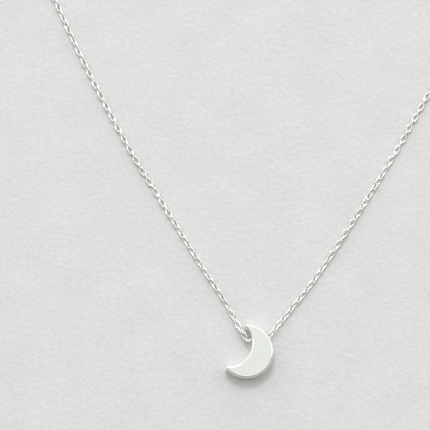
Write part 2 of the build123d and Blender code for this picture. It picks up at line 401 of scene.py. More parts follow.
def build_scratch_group() -> bpy.types.NodeTree:
    """Hairline polishing scratches in three directions, as a height from 0 to 1.

    Returns:
        The node group.
    """
    group, given, out = new_group("hairline_scratches", {"Scale": 900.0, "Density": 0.5},
                                  ["Height"])
    heights = []
    for turn in (0.3, 1.5, 2.5):
        rotate = add_node(group, "ShaderNodeMapping", Rotation=(0.0, 0.0, turn),
                          Scale=(1.0, 0.04, 1.0))
        group.links.new(given.outputs["Position"], rotate.inputs["Vector"])
        noise = add_node(group, "ShaderNodeTexNoise", Detail=1.0, Roughness=0.4)
        group.links.new(rotate.outputs["Vector"], noise.inputs["Vector"])
        group.links.new(given.outputs["Scale"], noise.inputs["Scale"])
        heights.append(map_node(group, noise.outputs["Fac"], 0.62, 0.72, 1.0, 0.0))
    lowest = math_node(group, "MINIMUM", math_node(group, "MINIMUM", heights[0], heights[1]),
                       heights[2])
    depth = math_node(group, "MULTIPLY", math_node(group, "SUBTRACT", 1.0, lowest),
                      given.outputs["Density"])
    group.links.new(math_node(group, "SUBTRACT", 1.0, depth), out.inputs["Height"])
    return group


def build_handling_group() -> bpy.types.NodeTree:
    """Soft clouds of handling: duller polish, slight tarnish and a faint ripple.

    Returns:
        The node group.
    """
    group, given, out = new_group("handling", {"Scale": 300.0}, ["Dullness", "Tarnish", "Ripple"])
    ranges = {"Dullness": (1.0, 3.0, 0.35, 0.7), "Tarnish": (0.45, 2.0, 0.4, 0.75),
              "Ripple": (0.35, 1.0, 0.2, 0.8)}
    for label, (size, detail, low, high) in ranges.items():
        noise = add_node(group, "ShaderNodeTexNoise", Detail=detail, Roughness=0.55)
        group.links.new(given.outputs["Position"], noise.inputs["Vector"])
        group.links.new(math_node(group, "MULTIPLY", given.outputs["Scale"], size),
                        noise.inputs["Scale"])
        group.links.new(map_node(group, noise.outputs["Fac"], low, high, 0.0, 1.0),
                        out.inputs[label])
    return group


@dataclass(frozen=True)
class SilverFinish:
    """A polished silver finish: colours, gloss and how much the polish shows its making."""

    name: str
    clean: Colour
    tarnished: Colour
    roughness: tuple[float, float]
    cloud_scale: float
    scratch_scale: float
    scratch_depth: float
    ripple_depth: float
    side_roughness: float | None = None
    side_slope: tuple[float, float] = (0.25, 0.5)

    def build(self, groups: dict[str, bpy.types.NodeTree]) -> bpy.types.Material:
        """Make the material.

        Args:
            groups: the shared node groups by name.

        Returns:
            The finished material.
        """
        material = bpy.data.materials.new(self.name)
        material.use_nodes = True
        tree = material.node_tree
        shader = tree.nodes["Principled BSDF"]
        shader.inputs["Metallic"].default_value = 1.0
        place = tree.nodes.new("ShaderNodeTexCoord").outputs["Object"]
        handling = tree.nodes.new("ShaderNodeGroup")
        handling.node_tree = groups["handling"]
        handling.inputs["Scale"].default_value = self.cloud_scale
        scratches = tree.nodes.new("ShaderNodeGroup")
        scratches.node_tree = groups["scratches"]
        scratches.inputs["Scale"].default_value = self.scratch_scale
        for node in (handling, scratches):
            tree.links.new(place, node.inputs["Position"])
        tint = tree.nodes.new("ShaderNodeMix")
        tint.data_type = "RGBA"
        tint.inputs["A"].default_value = (*self.clean, 1.0)
        tint.inputs["B"].default_value = (*self.tarnished, 1.0)
        tree.links.new(handling.outputs["Tarnish"], tint.inputs["Factor"])
        tree.links.new(tint.outputs["Result"], shader.inputs["Base Color"])
        gloss = map_node(tree, handling.outputs["Dullness"], 0.0, 1.0, *self.roughness)
        if self.side_roughness is not None:
            gloss = self.satin_sides(tree, gloss)
        tree.links.new(gloss, shader.inputs["Roughness"])
        ripple = add_node(tree, "ShaderNodeBump", Strength=1.0, Distance=self.ripple_depth)
        tree.links.new(handling.outputs["Ripple"], ripple.inputs["Height"])
        hairline = add_node(tree, "ShaderNodeBump", Strength=1.0, Distance=self.scratch_depth)
        tree.links.new(scratches.outputs["Height"], hairline.inputs["Height"])
        tree.links.new(ripple.outputs["Normal"], hairline.inputs["Normal"])
        tree.links.new(hairline.outputs["Normal"], shader.inputs["Normal"])
        return material

    def satin_sides(self, tree: bpy.types.NodeTree, gloss: bpy.types.NodeSocket
                    ) -> bpy.types.NodeSocket:
        """Leave the upright sides satin, as tumbling does, where only the faces are lapped.

        Args:
            tree: the material's nodes.
            gloss: the roughness of the lapped faces.

        Returns:
            The roughness all over.
        """
        facing = tree.nodes.new("ShaderNodeTexCoord").outputs["Normal"]
        split = tree.nodes.new("ShaderNodeSeparateXYZ")
        tree.links.new(facing, split.inputs["Vector"])
        flatness = math_node(tree, "ABSOLUTE", split.outputs["Z"], 0.0)
        sides = map_node(tree, flatness, *self.side_slope, 1.0, 0.0)
        extra = math_node(tree, "MULTIPLY", sides, self.side_roughness)
        return math_node(tree, "MAXIMUM", gloss, extra)


MOON_SILVER = SilverFinish("moon_polished_silver", (0.93, 0.945, 0.92), (0.90, 0.905, 0.865),
                           (0.10, 0.17), 160.0, 2200.0, 0.0000012, 0.000004, 0.27)
CHAIN_SILVER = SilverFinish("chain_bright_silver", (0.95, 0.95, 0.935), (0.88, 0.87, 0.84),
                            (0.10, 0.22), 500.0, 5000.0, 0.0000012, 0.000002)
FINDINGS_SILVER = SilverFinish("findings_polished_silver", (0.93, 0.93, 0.915),
                               (0.86, 0.85, 0.82), (0.10, 0.24), 350.0, 3000.0, 0.0000015,
                               0.000004)
SPRING_STEEL = SilverFinish("bright_spring_steel", (0.62, 0.62, 0.63), (0.5, 0.48, 0.46),
                            (0.2, 0.34), 900.0, 8000.0, 0.000001, 0.000001)


@dataclass(frozen=True)
class SurfaceFinish:
    """The pale fine-grained sheet that the necklace lies on."""

    name: str = "pale_grained_sheet"
    pale: Colour = (0.732, 0.732, 0.737)
    dark: Colour = (0.646, 0.646, 0.651)
    grain_scale: float = 1500.0
    grain_depth: float = 0.00016
    fibre_scale: float = 1100.0
    fibre_tone: float = 0.25
    cloud_scale: float = 120.0
    roughness: float = 0.6
    gloss: float = 0.2

    def build(self) -> bpy.types.Material:
        """Make the material.

        Returns:
            The finished material.
        """
        material = bpy.data.materials.new(self.name)
        material.use_nodes = True
        tree = material.node_tree
        shader = tree.nodes["Principled BSDF"]
        shader.inputs["Roughness"].default_value = self.roughness
        shader.inputs["Specular IOR Level"].default_value = self.gloss
        place = tree.nodes.new("ShaderNodeTexCoord").outputs["Object"]
        cells = add_node(tree, "ShaderNodeTexVoronoi", Scale=self.grain_scale)
        clouds = add_node(tree, "ShaderNodeTexNoise", Scale=self.cloud_scale, Detail=4.0)
        fibres = add_node(tree, "ShaderNodeTexNoise", Scale=self.fibre_scale, Detail=2.0)
        for node in (cells, clouds, fibres):
            tree.links.new(place, node.inputs["Vector"])
        fleck = map_node(tree, fibres.outputs["Fac"], 0.3, 0.7, -self.fibre_tone, self.fibre_tone)
        tint = tree.nodes.new("ShaderNodeMix")
        tint.data_type = "RGBA"
        tint.inputs["A"].default_value = (*self.dark, 1.0)
        tint.inputs["B"].default_value = (*self.pale, 1.0)
        tree.links.new(math_node(tree, "ADD", clouds.outputs["Fac"], fleck), tint.inputs["Factor"])
        tree.links.new(tint.outputs["Result"], shader.inputs["Base Color"])
        bump = add_node(tree, "ShaderNodeBump", Strength=0.35, Distance=self.grain_depth)
        tree.links.new(cells.outputs["Distance"], bump.inputs["Height"])
        tree.links.new(bump.outputs["Normal"], shader.inputs["Normal"])
        return material


def dress(piece: bpy.types.Object, material: bpy.types.Material) -> None:
    """Give a piece one material all over."""
    piece.data.materials.clear()
    piece.data.materials.append(material)


def fit(piece: bpy.types.Object, material: bpy.types.Material, body: str, node: str) -> bpy.types.Object:
    """Dress a piece and tie it to the frame.

    Args:
        piece: the finished piece.
        material: its material.
        body: the body that it rides on.
        node: the frame node that it replaces.

    Returns:
        The piece.
    """
    dress(piece, material)
    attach(piece, body)
    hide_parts(node)
    return piece


# --------------------------------------------------------------------------- moon bead


@dataclass
class MoonBead:
    """The solid crescent: two offset arcs, softly rounded edges and a bore through the upper horn."""

    silver: bpy.types.Material
    outer_radius: float = 5.12 * MM
    outer_centre: tuple[float, float] = (-0.49 * MM, 0.0)
    hollow_radius: float = 4.46 * MM
    hollow_offset: float = 3.895 * MM
    hollow_bearing: float = math.radians(155.7)
    thickness: float = 3.0 * MM
    edge_round: float = 0.28 * MM
    tip_round: float = 0.29 * MM
    tip_blend: float = 1.1 * MM
    wall_crown: float = 0.13 * MM
    round_steps: int = 9
    bore_radius: float = 1.0 * MM
    mouth_round: float = 0.22 * MM
    bore_bearing: float = math.radians(13.0)
    bore_start: tuple[float, float] = (1.66 * MM, 2.364 * MM)
    bore_mouths: tuple[float, float] = (-1.30 * MM, 2.02 * MM)
    tool_overrun: float = 2.4 * MM
    tool_flare: float = 1.5
    tool_steps: int = 6
    outer_points: int = 260
    hollow_points: int = 180
    tip_points: int = 10
    tip_margin: float = 0.97

    def outline(self) -> list[tuple[Vector, Vector, float]]:
        """The crescent's outline, its tips softly rounded.

        Returns:
            For each point, its place, its outward unit vector and how far its edge is rounded.
        """
        centre = Vector((*self.outer_centre, 0.0))
        toward = self.hollow_bearing
        hollow = centre + bearing(toward) * self.hollow_offset
        outer, inner = self.outer_radius - self.tip_round, self.hollow_radius + self.tip_round
        gap = self.hollow_offset
        reach = (outer ** 2 - inner ** 2 + gap ** 2) / (2 * gap)
        outer_half = math.acos(reach / outer)
        inner_half = math.acos((gap - reach) / inner)
        start, end = toward + outer_half, toward + 2 * math.pi - outer_half
        inner_start, inner_end = toward + math.pi + inner_half, toward + math.pi - inner_half
        corners = [centre + bearing(end) * outer, centre + bearing(start) * outer]
        pairs = self.arc(centre, outer, start, end, self.outer_points, 1.0)
        pairs += self.tip(corners[0], end, inner_start + math.pi)
        pairs += self.arc(hollow, inner, inner_start, inner_end, self.hollow_points, -1.0)
        pairs += self.tip(corners[1], inner_end - math.pi, start)
        narrowest = (self.tip_margin * self.tip_round * self.edge_round
                     / (self.edge_round + self.wall_crown))
        outline: list[tuple[Vector, Vector, float]] = []
        for base, outward in pairs:
            from_tip = min((base - corner).length for corner in corners)
            share = min(1.0, from_tip / self.tip_blend)
            rounding = narrowest + (self.edge_round - narrowest) * share
            outline.append((base + outward * self.tip_round, outward, rounding))
        return outline

    @staticmethod
    def arc(about: Vector, radius: float, first: float, last: float, count: int,
            sign: float) -> list[tuple[Vector, Vector]]:
        """Points of an arc with the way that each faces.

        Args:
            about: the arc's centre.
            radius: its radius.
            first: first bearing.
            last: last bearing.
            count: number of points.
            sign: 1 where the metal is inside the arc, -1 where it is outside.

        Returns:
            Pairs of a point and its outward unit vector.
        """
        turns = [bearing(first + (last - first) * step / (count - 1)) for step in range(count)]
        return [(about + turn * radius, turn * sign) for turn in turns]

    def tip(self, corner: Vector, first: float, last: float) -> list[tuple[Vector, Vector]]:
        """The ways that a tip's rounding faces, all at its corner.

        Args:
            corner: centre of the tip's rounding.
            first: bearing that it turns from.
            last: bearing that it turns to.

        Returns:
            Pairs of the corner and an outward unit vector.
        """
        return [(corner.copy(), bearing(first + (last - first) * step / self.tip_points))
                for step in range(1, self.tip_points)]

    def section(self, rounding: float) -> list[tuple[float, float]]:
        """The side of the crescent: a slightly crowned wall between two rounded edges.

        Args:
            rounding: radius of the rounded edges.

        Returns:
            Pairs of a distance in from the outline and a height above the middle.
        """
        half = self.thickness / 2
        crown = self.wall_crown * rounding / self.edge_round
        lean = math.atan(2 * crown / half)
        wall = half - rounding * (1 - math.sin(lean))
        upper: list[tuple[float, float]] = []
        for share in (0.0, 0.25, 0.5, 0.75):
            upper.append((crown * share ** 2, wall * share))
        for step in range(self.round_steps + 1):
            angle = lean + (math.pi / 2 - lean) * step / self.round_steps
            upper.append((crown + rounding * (math.cos(lean) - math.cos(angle)),
                          wall + rounding * (math.sin(angle) - math.sin(lean))))
        lower = [(inward, -height) for inward, height in reversed(upper[1:])]
        return lower + upper

    def build(self) -> bpy.types.Object:
        """Make the crescent's mesh, its bore and its finish.

        Returns:
            The bead.
        """
        outline = self.outline()
        middle = UP * (self.thickness / 2)
        sections = [self.section(rounding) for _, _, rounding in outline]
        points: list[Vector] = []
        for level in range(len(sections[0])):
            for (place, outward, _), section in zip(outline, sections):
                inward, height = section[level]
                points.append(place - outward * inward + UP * height + middle)
        bead = mesh_object("moon_bead", points, stack_faces(len(outline), len(sections[0])))
        self.clean(bead)
        cut_away(bead, self.bore_cutter())
        shade_evenly(bead, 50.0)
        return fit(bead, self.silver, "moon", "moon")

    @staticmethod
    def clean(bead: bpy.types.Object) -> None:
        """Merge the points that meet at the tips and drop empty faces."""
        work = bmesh.new()
        work.from_mesh(bead.data)
        bmesh.ops.remove_doubles(work, verts=work.verts, dist=0.0000005)
        bmesh.ops.recalc_face_normals(work, faces=work.faces)
        work.to_mesh(bead.data)
        work.free()

    def bore_cutter(self) -> bpy.types.Object:
        """The round tool that makes the bore, flared where it leaves the crescent.

        Returns:
            The cutter.
        """
        middle = Vector((*self.bore_start, self.thickness / 2))
        inner_mouth, outer_mouth = self.bore_mouths
        flare, wide = self.mouth_round, self.bore_radius * self.tool_flare
        turns = [math.pi / 2 * step / self.tool_steps for step in range(self.tool_steps + 1)]
        profile = [(inner_mouth - self.tool_overrun, wide)]
        for turn in turns:
            profile.append((inner_mouth + flare * math.sin(turn),
                            self.bore_radius + flare * (1 - math.sin(turn))))
        for turn in reversed(turns):
            profile.append((outer_mouth - flare * math.sin(turn),
                            self.bore_radius + flare * (1 - math.sin(turn))))
        profile.append((outer_mouth + self.tool_overrun, wide))
        return mesh_object("bore_tool", *revolve(profile, middle, bearing(self.bore_bearing), 64))


# --------------------------------------------------------------------------- chain


def route_line(name: str, route: Sequence[tuple[float, float, float]]) -> list[Vector]:
    """Read evenly divided points of the smooth line that a route's points control.

    Args:
        name: a name for the working curve.
        route: the route's points in millimetres.

    Returns:
        Points of the line in metres.
    """
    curve = bpy.data.curves.new(name, "CURVE")
    curve.dimensions = "3D"
    curve.resolution_u = 32
    spline = curve.splines.new("NURBS")
    spline.points.add(len(route) - 1)
    for point, place in zip(spline.points, route):
        point.co = (*(value * MM for value in place), 1.0)
    spline.order_u = 3
    spline.use_endpoint_u = True
    holder = bpy.data.objects.new(name, curve)
    bpy.context.scene.collection.objects.link(holder)
    mesh = bpy.data.meshes.new_from_object(holder)
    line = [vertex.co.copy() for vertex in mesh.vertices]
    bpy.data.objects.remove(holder)
    bpy.data.curves.remove(curve)
    bpy.data.meshes.remove(mesh)
    return line


BORE_HEIGHT = 1.5
REST_HEIGHT = 0.6
END_HEIGHT = 0.72
LEFT_ROUTE = [
    (1.66, 2.364, BORE_HEIGHT), (-0.02, 1.86, BORE_HEIGHT), (-1.14, 3.4, 1.37),
    (-2.0, 5.0, 1.06), (-3.04, 6.86, 0.75), (-4.84, 10.28, REST_HEIGHT),
    (-9.22, 16.73, REST_HEIGHT), (-15.99, 27.98, REST_HEIGHT), (-22.72, 38.88, REST_HEIGHT),
    (-28.57, 49.98, REST_HEIGHT), (-33.27, 59.38, REST_HEIGHT), (-37.47, 68.88, REST_HEIGHT),
    (-42.12, 79.0, REST_HEIGHT), (-44.72, 90.0, REST_HEIGHT), (-42.12, 101.0, REST_HEIGHT),
    (-34.52, 108.6, REST_HEIGHT), (-25.12, 107.8, REST_HEIGHT), (-20.32, 99.4, REST_HEIGHT),
    (-21.32, 88.4, REST_HEIGHT), (-20.52, 77.4, REST_HEIGHT), (-13.57, 71.28, REST_HEIGHT),
    (-6.92, 75.6, REST_HEIGHT), (-6.12, 85.6, REST_HEIGHT), (-7.52, 95.6, REST_HEIGHT),
    (-5.12, 103.8, REST_HEIGHT), (0.68, 107.7, REST_HEIGHT), (6.5, 108.0, END_HEIGHT),
]
RIGHT_ROUTE = [
    (2.829, 2.634, BORE_HEIGHT), (3.804, 2.859, BORE_HEIGHT), (4.48, 4.03, 1.2),
    (6.68, 6.73, 0.75), (9.73, 10.43, REST_HEIGHT), (13.93, 15.98, REST_HEIGHT),
    (18.73, 23.38, REST_HEIGHT), (23.63, 31.18, REST_HEIGHT), (28.03, 38.48, REST_HEIGHT),
    (32.63, 46.68, REST_HEIGHT), (37.0, 54.38, REST_HEIGHT), (42.15, 61.78, REST_HEIGHT),
    (46.35, 69.78, REST_HEIGHT), (49.6, 78.9, REST_HEIGHT), (51.3, 88.8, REST_HEIGHT),
    (49.7, 98.4, REST_HEIGHT), (43.9, 105.6, REST_HEIGHT), (35.7, 109.1, REST_HEIGHT),
    (27.3, 109.2, REST_HEIGHT), (20.87, 108.0, END_HEIGHT),
]
BORE_ROUTE = [(1.66, 2.364, BORE_HEIGHT), (2.245, 2.5, BORE_HEIGHT),
              (2.829, 2.634, BORE_HEIGHT)]


@dataclass
class Line:
    """A smooth line measured along its length."""

    points: list[Vector]
    marks: list[float] = field(init=False)

    def __post_init__(self) -> None:
        """Measure the distance of each point from the start."""
        self.marks = [0.0]
        for before, after in zip(self.points, self.points[1:]):
            self.marks.append(self.marks[-1] + (after - before).length)

    @property
    def length(self) -> float:
        """The line's whole length."""
        return self.marks[-1]

    def at(self, distance: float) -> Vector:
        """The point at a distance along the line, ends included.

        Args:
            distance: how far along, in metres.

        Returns:
            The point there.
        """
        index = int(np.searchsorted(self.marks, distance)) - 1
        index = max(0, min(index, len(self.points) - 2))
        span = self.marks[index + 1] - self.marks[index]
        return self.points[index].lerp(self.points[index + 1],
                                       (distance - self.marks[index]) / span)

    def way(self, distance: float, reach: float) -> Vector:
        """The line's direction round a distance, averaged over a reach each side."""
        return (self.at(distance + reach) - self.at(distance - reach)).normalized()


@dataclass
class CableChain:
    """A fine cable chain: round-wire oval links, each through the next, lying as it fell."""

    silver: bpy.types.Material
    link_length: float = 1.86 * MM
    link_width: float = 1.14 * MM
    wire: float = 0.29 * MM
    pitch: float = 1.2 * MM
    diameter: float = 1.2 * MM
    steps: int = 30
    sides: int = 10
    seed: int = 11
    oval_power: float = 0.86
    bed_gap: float = 0.004 * MM
    roll_spread: float = 0.09
    yaw_spread: float = 0.035
    side_spread: float = 0.02 * MM
    solder_swell: float = 0.05
    solder_step: int = 7
    solder_spread: float = 4.0

    def link_shape(self) -> list[tuple[float, float, float, float]]:
        """One link's centreline in its own plane.

        Returns:
            For each point, its place along and across, and the two parts of its outward vector.
        """
        half_length = (self.link_length - self.wire) / 2
        half_width = (self.link_width - self.wire) / 2
        shape = []
        for step in range(self.steps):
            angle = 2 * math.pi * step / self.steps
            cos, sin = math.cos(angle), math.sin(angle)
            along = half_length * math.copysign(abs(cos) ** self.oval_power, cos)
            across = half_width * math.copysign(abs(sin) ** self.oval_power, sin)
            shape.append((along, across, cos * half_width, sin * half_length))
        return shape

    def links(self, name: str, line: Line, first: int, twist: Callable[[float], float]
              ) -> bpy.types.Object:
        """Lay links along a line from its start to its end.

        Args:
            name: the piece's name.
            line: the line that the links follow.
            first: number of the first link, which sets how it alternates.
            twist: roll of the chain in radians at a distance along the line.

        Returns:
            The links as one piece.
        """
        count = max(1, round(line.length / self.pitch))
        pitch = line.length / count
        rng = random.Random(self.seed + first)
        shape = self.link_shape()
        rolls = []
        for index in range(count):
            quarter = math.pi / 2 * ((first + index) % 2)
            rolls.append(twist((index + 0.5) * pitch) + quarter + rng.gauss(0.0, self.roll_spread))
        half_width = (self.link_width - self.wire) / 2
        needs = [half_width * abs(math.sin(roll)) + self.wire / 2 for roll in rolls]
        swell = [self.wire / 2 * (1.0 + self.solder_swell * math.exp(
            -(step - self.solder_step) ** 2 / self.solder_spread)) for step in range(self.steps)]
        points: list[Vector] = []
        faces: Faces = []
        for index, roll in enumerate(rolls):
            distance = (index + 0.5) * pitch
            centre = line.at(distance)
            near = needs[max(0, index - 1):index + 2]
            centre.z += max(near) - REST_HEIGHT * MM + self.bed_gap
            along = line.way(distance, pitch * 0.5)
            side = UP.cross(along).normalized()
            lift = along.cross(side)
            yaw = rng.gauss(0.0, self.yaw_spread)
            along = (along + side * yaw).normalized()
            side = lift.cross(along).normalized()
            across = side * math.cos(roll) + lift * math.sin(roll)
            normal = along.cross(across)
            centre += side * rng.gauss(0.0, self.side_spread)
            centres = [centre + along * a + across * b for a, b, _, _ in shape]
            radials = [(along * a + across * b).normalized() for _, _, a, b in shape]
            new_points, new_faces = sweep_loop(centres, radials, normal, swell, self.sides)
            offset = len(points)
            points.extend(new_points)
            faces.extend(tuple(corner + offset for corner in face) for face in new_faces)
        return mesh_object(name, points, faces)

    @staticmethod
    def twist_of(side: Side) -> Callable[[float], float]:
        """The slow twist that a strand took as it was laid down.

        Args:
            side: which strand.

        Returns:
            A function from distance along the strand to roll in radians.
        """
        phase, drift = (0.4, 1.0) if side is Side.LEFT else (2.1, 1.3)
        near_bead, far_away = (38.0, 20.0) if side is Side.LEFT else (44.0, 8.0)

        def twist(distance: float) -> float:
            laid = distance / MM
            settled = min(1.0, max(0.0, (laid - 18.0) / 24.0))
            lean = near_bead + (far_away - near_bead) * settled
            slow, quick = math.sin(laid / 9.0 * drift + phase), math.sin(laid / 3.7 + 2.0 * phase)
            return math.radians(lean + 17.0 * slow + 10.0 * quick)

        return twist

    def build(self, hardware: list[bpy.types.Object]) -> list[bpy.types.Object]:
        """Make both strands and the length inside the bore.

        Args:
            hardware: the clasp, rings, extender and drop; not used.

        Returns:
            The three lengths of chain.
        """
        bore = Line(route_line("bore_line", BORE_ROUTE))
        inside = self.links("chain_inside_bore", bore, 0, self.twist_of(Side.LEFT))
        pieces = [fit(inside, self.silver, "chain", "chain_in_bore")]
        for side, route in ((Side.LEFT, LEFT_ROUTE), (Side.RIGHT, RIGHT_ROUTE)):
            line = Line(route_line(f"{side.value}_line", route))
            strand = self.links(f"chain_strand_{side.value}", line, 1, self.twist_of(side))
            fit(strand, self.silver, "chain", f"chain_{side.value}")
            LOG.info("%s strand: %.1f mm of chain", side.value, line.length / MM)
            pieces.append(strand)
        return pieces


# --------------------------------------------------------------------------- rings and links


@dataclass
class WireRing:
    """A round or oval ring of round wire, with the mark where its ends meet."""

    silver: bpy.types.Material
    steps: int = 96
    sides: int = 18
    seam_gap: float = 0.03 * MM
    solder_swell: float = 0.10
    solder_spread: float = 2.6

    def build(self, name: str, node: str, body: str, wire: float, open_seam: bool,
              seam_turn: float = 0.7) -> bpy.types.Object:
        """Make a ring where a node of the frame is.

        Args:
            name: the piece's name.
            node: the frame node that it replaces.
            body: the body that it rides on.
            wire: wire diameter in metres.
            open_seam: whether the ends only meet, as on a jump ring, or are soldered.
            seam_turn: where the seam is, in turns from the long way.

        Returns:
            The ring.
        """
        axes = Axes.of(node)
        half_length, half_width = (axes.length - wire) / 2, (axes.width - wire) / 2
        straight = half_length - half_width
        outline: list[tuple[Vector, Vector]] = []
        for step in range(self.steps):
            angle = 2 * math.pi * step / self.steps
            way = axes.along * math.cos(angle) + axes.across * math.sin(angle)
            shift = math.copysign(straight, math.cos(angle)) if straight > wire / 8 else 0.0
            outline.append((axes.middle + axes.along * shift + way * half_width, way))
        seam = int(seam_turn * self.steps) % self.steps
        outline = outline[seam:] + outline[:seam]
        centres = [place for place, _ in outline]
        radials = [way for _, way in outline]
        if open_seam:
            gap = (centres[0] - centres[-1]).normalized()
            centres.append(centres[0] - gap * self.seam_gap)
            radials.append(radials[0])
            radii = [wire / 2] * len(centres)
        else:
            radii = []
            for step in range(len(centres)):
                near = min(step, len(centres) - step)
                swell = self.solder_swell * math.exp(-(near / self.solder_spread) ** 2)
                radii.append(wire / 2 * (1 + swell))
        points, faces = sweep_loop(centres, radials, axes.normal, radii, self.sides,
                                   closed=not open_seam)
        ring = mesh_object(name, points, faces)
        shade_evenly(ring, 60.0)
        return fit(ring, self.silver, body, node)


@dataclass
class Rings:
    """Every ring and extender link of the necklace, and the ball at its free end."""

    silver: bpy.types.Material
    link_wire: float = 0.42 * MM
    end_wire: float = 0.4 * MM
    jump_wire: float = 0.5 * MM
    drop_wire: float = 0.4 * MM
    eye_wire: float = 0.36 * MM
    ball_radius: float = 1.6 * MM
    eye_radius: float = 0.75 * MM
    eye_sink: float = 0.1 * MM
    eye_level: float = 1.05 * MM
    eye_roll: float = math.radians(-45.0)
    eye_steps: int = 64
    ball_steps: int = 48
    collar_radius: float = 0.42 * MM
    ball_crest: float = 2.4 * MM

    def build(self) -> list[bpy.types.Object]:
        """Make the end rings, jump rings and extender links.

        Returns:
            The pieces.
        """
        maker = WireRing(self.silver)
        pieces = [
            maker.build("end_ring_left", "left_end_ring", "chain", self.end_wire, False, 0.3),
            maker.build("end_ring_right", "right_end_ring", "chain", self.end_wire, False, 0.8),
            maker.build("jump_ring_left", "left_jump_ring", "left_jump_ring", self.jump_wire,
                        True, 0.22),
            maker.build("jump_ring_catch", "catch_ring", "catch_ring", self.jump_wire, True, 0.3),
        ]
        links = sorted(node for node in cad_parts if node.startswith("extender_link_"))
        for index, node in enumerate(links):
            name = node.replace("extender_link", "extender_loop")
            pieces.append(maker.build(name, node, node, self.link_wire, False,
                                      0.2 + 0.07 * (index % 3)))
        pieces.append(maker.build("drop_jump_ring", "drop_ring", "drop_ring", self.drop_wire,
                                  True, 0.4))
        pieces.append(self.build_drop())
        return pieces

    def build_drop(self) -> bpy.types.Object:
        """Make the polished ball with its turned collar and soldered eye.

        Returns:
            The drop.
        """
        foot = Vector(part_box("end_drop")[0])
        radius = self.ball_radius
        ball = Vector((self.ball_middle_x(), foot.y + radius, radius))
        toward = Axes.of("drop_ring").middle - ball
        flat = Vector((toward.x, toward.y, 0.0)).normalized()
        eye = ball + flat * (self.eye_radius + radius - self.eye_sink)
        eye.z = self.eye_level
        profile: list[tuple[float, float]] = []
        collar = math.asin(self.collar_radius / radius)
        for step in range(1, self.ball_steps + 1):
            angle = math.pi - (math.pi - collar) * step / self.ball_steps
            profile.append((radius * math.cos(angle), radius * math.sin(angle)))
        for above, across in ((0.02, 0.40), (0.10, 0.38), (0.14, 0.34), (0.15, 0.26)):
            profile.append((radius + above * MM, across * MM))
        body = mesh_object("end_ball_body", *revolve(profile, ball, (eye - ball).normalized(), 72))
        across = UP.cross(-flat)
        normal = (-across * math.sin(self.eye_roll) + UP * math.cos(self.eye_roll)).normalized()
        along = (-flat - normal * (-flat).dot(normal)).normalized()
        side = normal.cross(along)
        radials = []
        for step in range(self.eye_steps):
            angle = 2 * math.pi * step / self.eye_steps
            radials.append(along * math.cos(angle) + side * math.sin(angle))
        centres = [eye + way * self.eye_radius for way in radials]
        loop = mesh_object("end_ball_eye", *sweep_loop(
            centres, radials, normal, [self.eye_wire / 2] * self.eye_steps, 16))
        drop = join_meshes("end_ball", [body, loop])
        shade_evenly(drop, 45.0)
        return fit(drop, self.silver, "end_drop", "end_drop")

    def ball_middle_x(self) -> float:
        """The ball's middle, from the widest points of its node."""
        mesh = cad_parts["end_drop"].data
        xs = [vertex.co.x for vertex in mesh.vertices if vertex.co.z > self.ball_crest]
        return (min(xs) + max(xs)) / 2


# --------------------------------------------------------------------------- clasp


